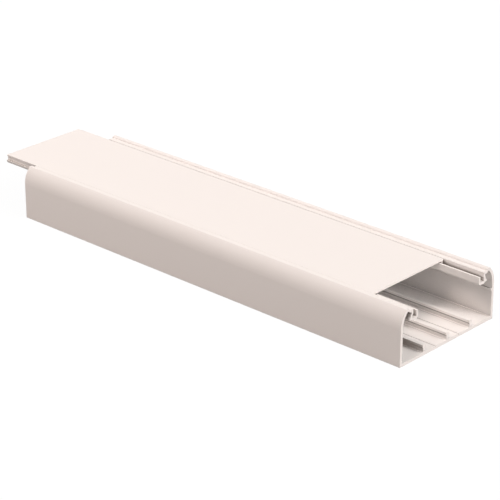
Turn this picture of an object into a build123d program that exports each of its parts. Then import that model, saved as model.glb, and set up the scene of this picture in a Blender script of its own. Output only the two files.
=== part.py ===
from build123d import *
import os

# A sample length of two-part cable trunking: a channel that screws to the wall by its flat back,
# and a cover that snaps between the channel's two curled lips.
# X runs along the trunking, Y across it and Z away from the wall. The origin is the middle of
# the channel's back face. All sizes are in millimetres.

# Lengths, how far the cover has been slid along the channel to show the inside, and how far it
# has settled sideways within its play
channel_length = 363.5
cover_length = 363.5
cover_slide = -33.8
cover_settled = -0.2

# Channel: outer form
channel_width = 100.0
channel_height = 40.2
wall_thickness = 2.1
floor_thickness = 2.2
shoulder_radius = 17.0
back_corner_radius = 0.3
inner_corner_radius = 0.5

# Channel: the crest that stands proud of the lips, and the hollow inside it
crest_width = 2.75
crest_inner_radius = 1.3
crest_outer_radius = 0.5
crest_root_radius = 0.2
crest_thickness = 2.0
crest_hollow_start = 1.0
crest_hollow_reach = 1.1

# Channel: the lips on both sides of the opening
opening_width = 75.4
lip_land_width = 4.0
lip_land_drop = 1.6
lip_thickness = 1.7
lip_edge_radius = 0.2
web_thickness = 1.7
jog_depth = 0.7
jog_drop = 3.8

# Channel: the gutter under each lip, which takes the cover's leg
gutter_drop = 6.7
gutter_width = 4.2
gutter_floor_thickness = 1.6
gutter_leg_thickness = 1.5
gutter_leg_height = 4.6
gutter_heel_radius = 2.0
nib_reach = 1.3
nib_rise = 0.9
nib_tip = 0.9
nib_height = 1.7
nib_root = 0.9
nib_root_radius = 0.5
edge_radius = 0.3

# Channel: the ledge along each side wall
ledge_height = 22.6
ledge_thickness = 1.3
ledge_reach = 1.2

# Channel: the T ribs and the drilling grooves along the floor
rib_count = 3
rib_pitch = 25.0
rib_height = 5.7
rib_head_width = 2.8
rib_head_side = 1.8
rib_head_slant = 1.0
rib_stem_width = 1.3
rib_root_radius = 0.8
groove_pitch = 25.0
groove_width = 0.8
groove_depth = 1.1

# Cover
cover_thickness = 1.2
cover_leg_inset = 0.8
cover_leg_thickness = 1.3
cover_barb_flat = 0.7
cover_toe_taper = 0.6
cover_toe_radius = 0.3
cover_edge_radius = 0.2

# Clearances between the cover and the channel
edge_gap = 0.3
catch_gap = 0.4
barb_gap = 0.5
seat_gap = 0.3

# Levels above the back face
land_level = channel_height - lip_land_drop
jog_level = land_level - jog_drop
gutter_level = land_level - gutter_drop
lip_underside = land_level - lip_thickness

# Distances from the middle plane, for the +Y half
outer_y = channel_width / 2
inner_y = outer_y - wall_thickness
lip_y = opening_width / 2
undercut_y = lip_y + jog_depth
gutter_leg_y = undercut_y - gutter_width
crest_inner_y = lip_y + lip_land_width
crest_outer_y = crest_inner_y + crest_width
hollow_start_y = crest_inner_y - crest_hollow_start

# The shoulder is one arc that leaves the side wall upright and ends at the crest's outer edge
shoulder_y = outer_y - shoulder_radius
shoulder_level = channel_height - (shoulder_radius**2 - (crest_outer_y - shoulder_y) ** 2) ** 0.5


def rectangle(left, right, bottom, top):
    """A rectangle between two distances from the middle plane and two levels."""
    centre = ((left + right) / 2, (bottom + top) / 2)
    return Pos(*centre) * Rectangle(right - left, top - bottom)


def rounded_outline(corners):
    """A closed outline through (y, z, radius) corners."""
    points = [(y, z) for y, z, radius in corners]
    radii = [radius for y, z, radius in corners]
    return make_face(FilletPolyline(*points, radius=radii, close=True))


def shoulder_disc(radius):
    """The round form that the shoulder's outside or inside follows."""
    return Pos(shoulder_y, shoulder_level) * Circle(radius)


def outer_half():
    """The channel's outer form, solid, with its curved shoulder and its crest."""
    wall = rectangle(0, outer_y, 0, shoulder_level)
    middle = rectangle(0, crest_outer_y, 0, channel_height)
    corner = rectangle(crest_outer_y, outer_y, shoulder_level, channel_height)
    form = wall + middle + (shoulder_disc(shoulder_radius) & corner)
    form -= rectangle(0, crest_inner_y, land_level, channel_height)
    rounded = (
        (outer_y, 0, back_corner_radius),
        (crest_inner_y, land_level, crest_root_radius),
        (crest_inner_y, channel_height, crest_inner_radius),
        (crest_outer_y, channel_height, crest_outer_radius),
    )
    for y, z, radius in rounded:
        form = fillet(form.vertices().sort_by_distance((y, z))[0], radius)
    return form


def hollow_half():
    """The space inside the wall and the shoulder, up to the lip and into the crest."""
    crest_underside = channel_height - crest_thickness
    wall_space = rectangle(0, inner_y, floor_thickness, shoulder_level)
    wall_space = fillet(
        wall_space.vertices().sort_by_distance((inner_y, floor_thickness))[0], inner_corner_radius
    )
    upper = rectangle(0, inner_y, shoulder_level, crest_underside)
    shoulder_space = shoulder_disc(shoulder_radius - wall_thickness) & upper
    under_lip = [
        (0, lip_underside),
        (hollow_start_y, lip_underside),
        (crest_inner_y + crest_hollow_reach, crest_underside),
        (0, crest_underside),
    ]
    return wall_space + shoulder_space - make_face(Polyline(*under_lip, close=True))


def lip_half():
    """The lip's web with its jog, the gutter below it, the gutter's free leg and the nib."""
    underside = gutter_level - gutter_floor_thickness
    leg_top = gutter_level + gutter_leg_height
    leg_back_y = gutter_leg_y - gutter_leg_thickness
    upper_web_y = lip_y + web_thickness
    lower_web_y = undercut_y + web_thickness
    nib_y = lower_web_y + nib_reach
    nib_bottom = underside + nib_rise
    return rounded_outline(
        [
            (lip_y, land_level, lip_edge_radius),
            (lip_y, jog_level, edge_radius),
            (undercut_y, jog_level, 0),
            (undercut_y, gutter_level, edge_radius),
            (gutter_leg_y, gutter_level, edge_radius),
            (gutter_leg_y, leg_top, edge_radius),
            (leg_back_y, leg_top, edge_radius),
            (leg_back_y, underside, gutter_heel_radius),
            (lower_web_y - nib_root - nib_rise, underside, nib_root_radius),
            (lower_web_y - nib_root, nib_bottom, nib_root_radius),
            (nib_y, nib_bottom, edge_radius),
            (nib_y, nib_bottom + nib_tip, edge_radius),
            (lower_web_y, gutter_level + nib_height, 0),
            (lower_web_y, jog_level, 0),
            (upper_web_y, jog_level + jog_depth, 0),
            (upper_web_y, lip_underside, 0),
            (hollow_start_y, lip_underside, 0),
            (hollow_start_y, land_level, 0),
        ]
    )


def ledge_half():
    """The ledge that runs along the inside of the side wall."""
    bottom = ledge_height - ledge_thickness / 2
    top = ledge_height + ledge_thickness / 2
    tip_y = inner_y - ledge_reach
    root_y = inner_y + wall_thickness / 2
    return rounded_outline(
        [
            (tip_y, bottom, edge_radius),
            (tip_y, top, edge_radius),
            (root_y, top, 0),
            (root_y, bottom, 0),
        ]
    )


def floor_rib(y):
    """One T rib with a slanted neck, rooted in the floor."""
    top = floor_thickness + rib_height
    side_bottom = top - rib_head_side
    neck = side_bottom - rib_head_slant
    half_head = rib_head_width / 2
    half_stem = rib_stem_width / 2
    half_root = half_head + rib_root_radius
    left = [
        (y - half_root, floor_thickness / 2, 0),
        (y - half_root, floor_thickness, 0),
        (y - half_stem, floor_thickness, rib_root_radius),
        (y - half_stem, neck, 0),
        (y - half_head, side_bottom, edge_radius),
        (y - half_head, top, edge_radius),
    ]
    right = [(2 * y - across, level, radius) for across, level, radius in reversed(left)]
    return rounded_outline(left + right)


def floor_groove(y):
    """One V groove that guides a drill, cut into the floor."""
    bottom = floor_thickness - groove_depth
    corners = [
        (y - groove_width / 2, floor_thickness),
        (y, bottom),
        (y + groove_width / 2, floor_thickness),
    ]
    return make_face(Polyline(*corners, close=True))


def channel_section():
    """The channel's whole section: two mirrored halves, the ribs and the grooves."""
    mouth = rectangle(0, lip_y + web_thickness, floor_thickness, channel_height)
    half = outer_half() - hollow_half() - mouth + lip_half() + ledge_half()
    section = half + mirror(half, Plane.YZ)
    for number in range(rib_count):
        section += floor_rib((number - (rib_count - 1) / 2) * rib_pitch)
    for side in (-1, 1):
        section -= floor_groove(side * groove_pitch / 2)
    return section


def cover_leg():
    """One snap leg, with the barb that catches under the jog in the web."""
    outer = lip_y - edge_gap - cover_leg_inset
    inner = outer - cover_leg_thickness
    barb_y = undercut_y - barb_gap
    ledge = jog_level - catch_gap
    foot = gutter_level + seat_gap
    shoulder = land_level - cover_thickness / 2
    return rounded_outline(
        [
            (inner, shoulder, 0),
            (outer, shoulder, 0),
            (outer, ledge, 0),
            (barb_y, ledge, 0),
            (barb_y, ledge - cover_barb_flat, 0),
            (barb_y - cover_toe_taper, foot, cover_toe_radius),
            (inner, foot, cover_toe_radius),
        ]
    )


def cover_section():
    """The cover's section: a flat plate, flush with the lips, on two snap legs."""
    edge = lip_y - edge_gap
    plate = rounded_outline(
        [
            (-edge, land_level - cover_thickness, cover_edge_radius),
            (-edge, land_level, cover_edge_radius),
            (edge, land_level, cover_edge_radius),
            (edge, land_level - cover_thickness, cover_edge_radius),
        ]
    )
    leg = cover_leg()
    return plate + leg + mirror(leg, Plane.YZ)


def extrusion(section, length):
    """A straight length of a section, with its middle at the origin."""
    return extrude(Plane.YZ * section, length / 2, both=True)


parts = {
    "base_channel": extrusion(channel_section(), channel_length),
    "snap_cover": Pos(cover_slide, cover_settled, 0) * extrusion(cover_section(), cover_length),
}

os.makedirs("parts", exist_ok=True)
for name, solid in parts.items():
    export_step(solid, f"parts/{name}.step")
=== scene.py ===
import math

import bpy
from mathutils import Matrix, Vector

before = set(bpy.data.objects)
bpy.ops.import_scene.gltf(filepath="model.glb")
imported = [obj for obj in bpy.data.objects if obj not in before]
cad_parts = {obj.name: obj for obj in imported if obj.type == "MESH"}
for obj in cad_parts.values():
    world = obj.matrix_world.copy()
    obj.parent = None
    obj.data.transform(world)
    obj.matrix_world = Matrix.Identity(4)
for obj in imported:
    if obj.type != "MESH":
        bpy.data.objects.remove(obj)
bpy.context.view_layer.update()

MM = 0.001

# Camera: the direction it looks in, its distance from the origin, and how far the origin lies
# from the middle of the picture
VIEW_AZIMUTH = math.radians(42.785)
VIEW_ELEVATION = math.radians(24.286)
CAMERA_DISTANCE = 1492.13 * MM
CAMERA_RIGHT = 2.12 * MM
CAMERA_UP = 10.97 * MM
LENS_MM = 149.09
SENSOR_MM = 36.0
NEAREST_SEEN = 0.05
FARTHEST_SEEN = 60.0

WHITE = (1.0, 1.0, 1.0)

# Colours of the rigid plastic, as linear values: the two tones of its skin, and its sawn ends
PVC_COLOUR = (0.860, 0.802, 0.768)
PVC_SHADE = (0.846, 0.786, 0.750)
# The sawn ends' colour is partly their own and partly painted shade: set darker than the skin to
# dim the ends, which the end lamps light strongly
SAWN_TONE_AND_SHADE = (0.830, 0.745, 0.700)
# Painted shade: the dark colours painted in narrow slits and in deep hollows, where little light
# gets in
PVC_NARROW_PAINTED_SHADE = (0.262, 0.235, 0.215)
PVC_DEEP_PAINTED_SHADE = (0.250, 0.216, 0.194)
# The one plain colour in which it passes light on to other surfaces
PVC_BOUNCE = (0.860, 0.828, 0.808)

# Shine of the plastic: the lines of the die and the saw make it rougher
PVC_IOR = 1.53
PVC_GLOSS = 0.2
SKIN_ROUGHNESS = 0.54
LINES_ROUGHNESS = 0.10
SAWN_ROUGHNESS = 0.25

# Relief of the plastic: its depth, and how much of it is die lines and how much is grain
RELIEF_STRENGTH = 0.12
RELIEF_DEPTH = 0.05 * MM
LINES_SHARE = 0.7
GRAIN_SHARE = 0.3

# How far the patches go towards the darker tone, and how strong the lines are on each piece
SHADE_SHARE = 0.35
CHANNEL_LINES = 0.9
COVER_LINES = 0.6

# Fineness of the patterns within one line, patch or grain
LINE_DETAIL = 3.0
LINE_BREAKUP = 0.55
PLAIN_DETAIL = 2.0

# A face counts as a sawn end where it looks along the trunking at least this squarely
SAWN_FACING = 0.9
SAWN_SHARPNESS = 20.0

# Painted shade in slits and hollows: whether only the piece's own surfaces count, how far off they
# count, and the openness at which the mask of painted shade begins and at which it is full
PAINTED_SHADE_CREVICES = {
    "narrow_painted_shade": (True, 6 * MM, 0.68, 0.25),
    "deep_painted_shade": (False, 35 * MM, 0.52, 0.20),
}
# Samples for the masks of painted shade
PAINTED_SHADE_SAMPLES = 16

# Soft lamps: direction that each comes from (degrees from +X towards +Y, and above the floor),
# strength, colour
LAMPS = {
    "high_right": (240, 72, 0.70, (1.0, 0.931, 0.907)),
    "high_left": (45, 52, 0.36, (1.0, 0.963, 0.912)),
    "side": (270, 52, 0.865, (1.0, 0.880, 0.820)),
    "end_upper": (20, 35, 1.22, (0.959, 0.987, 1.0)),
    "end_lower": (0, 20, 1.10, (0.951, 0.981, 1.0)),
    "corner_low": (-40, 20, 0.44, (1.0, 0.975, 0.980)),
}
LAMP_SIZE = math.radians(26)

# A weak lamp by the far end of the side, for the side's slow change in tone: where it stands, what
# it points at, power in watts, diameter, colour
SIDE_LAMP_PLACE = (-0.50, -0.60, 0.35)
SIDE_LAMP_AIM = (-0.18, -0.05, 0.02)
SIDE_LAMP_POWER = 0.52
SIDE_LAMP_DIAMETER = 0.30
SIDE_LAMP_COLOUR = (1.0, 0.87, 0.80)

# Sky: how strongly it lights the object, and how strong it is where it is seen itself
SKY_LEVEL = 0.2
SKY_SEEN_LEVEL = 1.0

# Floor: its size, the colour that lights the object from below, and, where it is seen itself, its
# white glow and the little light that it takes, so that a faint shadow stays on it
FLOOR_SIZE = 12.0
FLOOR_COLOUR = (0.25, 0.245, 0.24)
FLOOR_SEEN_GLOW = 0.95
FLOOR_SEEN_DIFFUSE = (0.06, 0.06, 0.06)

# Room that each node takes in the layout of its tree
NODE_SPACING = 220


def camera_axes():
    """The directions to the picture's right, to its top, and into it."""
    forward = Vector(
        (
            -math.sin(VIEW_AZIMUTH) * math.cos(VIEW_ELEVATION),
            math.cos(VIEW_AZIMUTH) * math.cos(VIEW_ELEVATION),
            -math.sin(VIEW_ELEVATION),
        )
    )
    right = Vector((math.cos(VIEW_AZIMUTH), math.sin(VIEW_AZIMUTH), 0))
    return right, right.cross(forward), forward


def make_camera():
    """The camera, with the origin of the part a little off the middle of its picture."""
    right, up, forward = camera_axes()
    data = bpy.data.cameras.new("camera")
    data.lens = LENS_MM
    data.sensor_width = SENSOR_MM
    data.clip_start = NEAREST_SEEN
    data.clip_end = FARTHEST_SEEN
    camera = bpy.data.objects.new("camera", data)
    turn = Matrix((right, up, -forward)).transposed().to_4x4()
    place = right * CAMERA_RIGHT + up * CAMERA_UP - forward * CAMERA_DISTANCE
    camera.matrix_world = Matrix.Translation(place) @ turn
    bpy.context.scene.collection.objects.link(camera)
    bpy.context.scene.camera = camera


class Nodes:
    """Adds nodes to one node tree, laid out in a row, and links them."""

    def __init__(self, tree):
        self.tree = tree
        self.count = 0

    def add(self, kind, **settings):
        node = self.tree.nodes.new(kind)
        node.location = (NODE_SPACING * self.count, 0)
        self.count += 1
        for name, value in settings.items():
            setattr(node, name, value)
        return node

    def link(self, source, target):
        self.tree.links.new(source, target)

    def feed(self, socket, value):
        """Gives a socket another node's output, or a fixed value."""
        if isinstance(value, bpy.types.NodeSocket):
            self.link(value, socket)
        else:
            socket.default_value = value

    def math(self, operation, first, second=None, clamp=False):
        node = self.add("ShaderNodeMath", operation=operation, use_clamp=clamp)
        self.feed(node.inputs[0], first)
        if second is not None:
            self.feed(node.inputs[1], second)
        return node.outputs[0]

    def mix(self, kind, share, first, second):
        """Goes from the first value or colour to the second as the share goes from 0 to 1."""
        node = self.add("ShaderNodeMix", data_type=kind)
        self.feed(node.inputs["Factor"], share)
        self.feed(node.inputs["A"], first)
        self.feed(node.inputs["B"], second)
        return node.outputs["Result"]

    def noise(self, dimensions, place, scale, detail):
        """A noise pattern at a place, or at a distance where it has one dimension."""
        node = self.add("ShaderNodeTexNoise", noise_dimensions=dimensions)
        self.feed(node.inputs["W" if dimensions == "1D" else "Vector"], place)
        self.feed(node.inputs["Scale"], scale)
        self.feed(node.inputs["Detail"], detail)
        return node


def opaque(colour):
    """A colour with full opacity as its fourth value."""
    return (*colour, 1)


def cleared_nodes(owner):
    """The emptied node tree of a material or world, ready for new nodes."""
    owner.use_nodes = True
    owner.node_tree.nodes.clear()
    return Nodes(owner.node_tree)


def new_group(name, inputs, outputs):
    """An empty shader node group with named inputs (name, default) and named outputs."""
    tree = bpy.data.node_groups.new(name, "ShaderNodeTree")
    for label, default in inputs:
        socket = tree.interface.new_socket(label, in_out="INPUT", socket_type="NodeSocketFloat")
        socket.default_value = default
    for label in outputs:
        tree.interface.new_socket(label, in_out="OUTPUT", socket_type="NodeSocketFloat")
    nodes = Nodes(tree)
    return tree, nodes, nodes.add("NodeGroupInput").outputs, nodes.add("NodeGroupOutput").inputs


def die_lines_group():
    """Faint lines that the die leaves along an extrusion, which hardly change along it."""
    inputs = [
        ("Lines per metre", 900.0),
        ("Patches per metre", 60.0),
        ("Drift along", 0.004),
        ("Contrast", 1.0),
    ]
    tree, nodes, given, result = new_group("die_lines", inputs, ["Height", "Patches"])
    place = nodes.add("ShaderNodeTexCoord")
    split = nodes.add("ShaderNodeSeparateXYZ")
    nodes.link(place.outputs["Object"], split.inputs[0])
    along = nodes.math("MULTIPLY", split.outputs["X"], given["Drift along"])
    stretched = nodes.add("ShaderNodeCombineXYZ")
    nodes.link(along, stretched.inputs["X"])
    nodes.link(split.outputs["Y"], stretched.inputs["Y"])
    nodes.link(split.outputs["Z"], stretched.inputs["Z"])
    lines = nodes.noise("3D", stretched.outputs[0], given["Lines per metre"], LINE_DETAIL)
    lines.inputs["Roughness"].default_value = LINE_BREAKUP
    centred = nodes.math("SUBTRACT", lines.outputs["Fac"], 0.5)
    scaled = nodes.math("MULTIPLY", centred, given["Contrast"])
    nodes.link(nodes.math("ADD", scaled, 0.5, clamp=True), result["Height"])
    patches = nodes.noise("3D", stretched.outputs[0], given["Patches per metre"], PLAIN_DETAIL)
    nodes.link(patches.outputs["Fac"], result["Patches"])
    return tree


def grain_group():
    """The fine, soft unevenness of an extruded skin."""
    inputs = [("Grains per metre", 1400.0)]
    tree, nodes, given, result = new_group("skin_grain", inputs, ["Height"])
    place = nodes.add("ShaderNodeTexCoord")
    grain = nodes.noise("3D", place.outputs["Object"], given["Grains per metre"], PLAIN_DETAIL)
    nodes.link(grain.outputs["Fac"], result["Height"])
    return tree


def sawn_end_group():
    """Where a face is a sawn end, and the shallow arcs that the saw blade leaves on it."""
    inputs = [("Blade drop", 0.12), ("Arcs per metre", 1600.0)]
    tree, nodes, given, result = new_group("sawn_end", inputs, ["Mask", "Height"])
    geometry = nodes.add("ShaderNodeNewGeometry")
    facing = nodes.add("ShaderNodeSeparateXYZ")
    nodes.link(geometry.outputs["True Normal"], facing.inputs[0])
    turned = nodes.math("ABSOLUTE", facing.outputs["X"])
    above = nodes.math("SUBTRACT", turned, SAWN_FACING)
    nodes.link(nodes.math("MULTIPLY", above, SAWN_SHARPNESS, clamp=True), result["Mask"])
    place = nodes.add("ShaderNodeTexCoord")
    split = nodes.add("ShaderNodeSeparateXYZ")
    nodes.link(place.outputs["Object"], split.inputs[0])
    lowered = nodes.math("ADD", split.outputs["Z"], given["Blade drop"])
    across_squared = nodes.math("MULTIPLY", split.outputs["Y"], split.outputs["Y"])
    up_squared = nodes.math("MULTIPLY", lowered, lowered)
    radius = nodes.math("SQRT", nodes.math("ADD", across_squared, up_squared))
    arcs = nodes.noise("1D", radius, given["Arcs per metre"], PLAIN_DETAIL)
    nodes.link(arcs.outputs["Fac"], result["Height"])
    return tree


def painted_shade_group(name, own_only, reach, begins, full):
    """Mask of painted shade where surfaces within reach close in, so that little light gets in."""
    inputs = [("Reach", reach), ("Open above", begins), ("Closed below", full)]
    tree, nodes, given, result = new_group(name, inputs, ["Mask"])
    openness = nodes.add(
        "ShaderNodeAmbientOcclusion", samples=PAINTED_SHADE_SAMPLES, only_local=own_only
    )
    nodes.link(given["Reach"], openness.inputs["Distance"])
    depth = nodes.add("ShaderNodeMapRange", interpolation_type="SMOOTHSTEP")
    nodes.link(openness.outputs["AO"], depth.inputs["Value"])
    nodes.link(given["Open above"], depth.inputs["From Min"])
    nodes.link(given["Closed below"], depth.inputs["From Max"])
    nodes.link(depth.outputs["Result"], result["Mask"])
    return tree


def pvc_material(name, groups, line_contrast):
    """Warm white rigid plastic with a satin skin, die lines along it and matt sawn ends, with
    painted shade in slits and hollows and, in part, on the sawn ends.
    """
    material = bpy.data.materials.new(name)
    nodes = cleared_nodes(material)
    output = nodes.add("ShaderNodeOutputMaterial")
    shader = nodes.add("ShaderNodeBsdfPrincipled")
    nodes.link(shader.outputs[0], output.inputs["Surface"])
    shader.inputs["IOR"].default_value = PVC_IOR
    shader.inputs["Specular IOR Level"].default_value = PVC_GLOSS

    lines = nodes.add("ShaderNodeGroup", node_tree=groups["die_lines"])
    lines.inputs["Contrast"].default_value = line_contrast
    grain = nodes.add("ShaderNodeGroup", node_tree=groups["skin_grain"])
    sawn = nodes.add("ShaderNodeGroup", node_tree=groups["sawn_end"])
    is_sawn = sawn.outputs["Mask"]

    patches = nodes.math("MULTIPLY", lines.outputs["Patches"], SHADE_SHARE)
    colour = nodes.mix("RGBA", patches, opaque(PVC_COLOUR), opaque(PVC_SHADE))
    # Sawn ends: their own tone, set darker as painted shade
    colour = nodes.mix("RGBA", is_sawn, colour, opaque(SAWN_TONE_AND_SHADE))
    # Painted shade: darker colours mixed in where slits and hollows close in
    for group, dark in (("narrow_painted_shade", PVC_NARROW_PAINTED_SHADE), ("deep_painted_shade", PVC_DEEP_PAINTED_SHADE)):
        shade_mask = nodes.add("ShaderNodeGroup", node_tree=groups[group])
        colour = nodes.mix("RGBA", shade_mask.outputs["Mask"], colour, opaque(dark))
    path = nodes.add("ShaderNodeLightPath")
    colour = nodes.mix("RGBA", path.outputs["Is Diffuse Ray"], colour, opaque(PVC_BOUNCE))
    nodes.link(colour, shader.inputs["Base Color"])

    rougher = nodes.math("MULTIPLY", lines.outputs["Height"], LINES_ROUGHNESS)
    skin_roughness = nodes.math("ADD", rougher, SKIN_ROUGHNESS)
    sawn_roughness = nodes.math("MULTIPLY", is_sawn, SAWN_ROUGHNESS)
    roughness = nodes.math("ADD", skin_roughness, sawn_roughness, clamp=True)
    nodes.link(roughness, shader.inputs["Roughness"])

    skin_height = nodes.math(
        "ADD",
        nodes.math("MULTIPLY", lines.outputs["Height"], LINES_SHARE),
        nodes.math("MULTIPLY", grain.outputs["Height"], GRAIN_SHARE),
    )
    bump = nodes.add("ShaderNodeBump")
    bump.inputs["Strength"].default_value = RELIEF_STRENGTH
    bump.inputs["Distance"].default_value = RELIEF_DEPTH
    height = nodes.mix("FLOAT", is_sawn, skin_height, sawn.outputs["Height"])
    nodes.link(height, bump.inputs["Height"])
    nodes.link(bump.outputs["Normal"], shader.inputs["Normal"])
    return material


def seen_white(nodes):
    """1 for the rays that see the background itself, also by way of gloss or glass."""
    path = nodes.add("ShaderNodeLightPath")
    mirrored = nodes.math("ADD", path.outputs["Is Camera Ray"], path.outputs["Is Glossy Ray"])
    return nodes.math("ADD", mirrored, path.outputs["Is Transmission Ray"], clamp=True)


def mix_by_sight(nodes, unseen, seen, output):
    """Shows one shader where the background itself is seen, and the other to all other rays."""
    mix = nodes.add("ShaderNodeMixShader")
    nodes.link(seen_white(nodes), mix.inputs[0])
    nodes.link(unseen.outputs[0], mix.inputs[1])
    nodes.link(seen.outputs[0], mix.inputs[2])
    nodes.link(mix.outputs[0], output.inputs["Surface"])


def make_floor():
    """A plain pale floor that looks white and keeps a faint shadow."""
    bpy.ops.mesh.primitive_plane_add(size=FLOOR_SIZE, location=(0, 0, 0))
    floor = bpy.context.object
    floor.name = "floor"
    material = bpy.data.materials.new("floor_white")
    nodes = cleared_nodes(material)
    output = nodes.add("ShaderNodeOutputMaterial")
    lit = nodes.add("ShaderNodeBsdfDiffuse")
    lit.inputs["Color"].default_value = opaque(FLOOR_COLOUR)
    shadow = nodes.add("ShaderNodeBsdfDiffuse")
    shadow.inputs["Color"].default_value = opaque(FLOOR_SEEN_DIFFUSE)
    glow = nodes.add("ShaderNodeEmission")
    glow.inputs["Strength"].default_value = FLOOR_SEEN_GLOW
    seen = nodes.add("ShaderNodeAddShader")
    nodes.link(shadow.outputs[0], seen.inputs[0])
    nodes.link(glow.outputs[0], seen.inputs[1])
    mix_by_sight(nodes, lit, seen, output)
    floor.data.materials.append(material)


def make_world():
    """White where it is seen, and a plain dim white sky as light."""
    world = bpy.data.worlds.new("studio")
    bpy.context.scene.world = world
    nodes = cleared_nodes(world)
    output = nodes.add("ShaderNodeOutputWorld")
    skies = []
    for strength in (SKY_LEVEL, SKY_SEEN_LEVEL):
        sky = nodes.add("ShaderNodeBackground")
        sky.inputs["Strength"].default_value = strength
        sky.inputs["Color"].default_value = opaque(WHITE)
        skies.append(sky)
    mix_by_sight(nodes, *skies, output)


def add_lamp(data, place, direction):
    """Puts a lamp at a place, shining in a direction."""
    lamp = bpy.data.objects.new(data.name, data)
    lamp.location = place
    lamp.rotation_mode = "QUATERNION"
    lamp.rotation_quaternion = direction.to_track_quat("-Z", "Y")
    bpy.context.scene.collection.objects.link(lamp)
    return lamp


def soft_lamp(name, azimuth, elevation, strength, colour):
    """A distant lamp of some angular size, so its shadows are soft and it has no falloff."""
    data = bpy.data.lights.new(name, "SUN")
    data.energy = strength
    data.angle = LAMP_SIZE
    data.color = colour
    turn = math.radians(azimuth)
    rise = math.radians(elevation)
    flat = math.cos(rise)
    source = Vector((flat * math.cos(turn), flat * math.sin(turn), math.sin(rise)))
    add_lamp(data, source, -source)


def side_lamp():
    """A small disc lamp close by, which only the end of the side nearest to it sees well."""
    data = bpy.data.lights.new("side_far", "AREA")
    data.shape = "DISK"
    data.size = SIDE_LAMP_DIAMETER
    data.energy = SIDE_LAMP_POWER
    data.color = SIDE_LAMP_COLOUR
    lamp = add_lamp(data, SIDE_LAMP_PLACE, Vector(SIDE_LAMP_AIM) - Vector(SIDE_LAMP_PLACE))
    lamp.visible_camera = False


groups = {
    "die_lines": die_lines_group(),
    "skin_grain": grain_group(),
    "sawn_end": sawn_end_group(),
}
for name, settings in PAINTED_SHADE_CREVICES.items():
    groups[name] = painted_shade_group(name, *settings)
finishes = {
    "base_channel": pvc_material("channel_pvc", groups, CHANNEL_LINES),
    "snap_cover": pvc_material("cover_pvc", groups, COVER_LINES),
}
for node, material in finishes.items():
    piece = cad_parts[node]
    piece.data.materials.clear()
    piece.data.materials.append(material)

make_camera()
make_floor()
make_world()
for name, settings in LAMPS.items():
    soft_lamp(name, *settings)
side_lamp()

bpy.context.scene.view_settings.view_transform = "Standard"
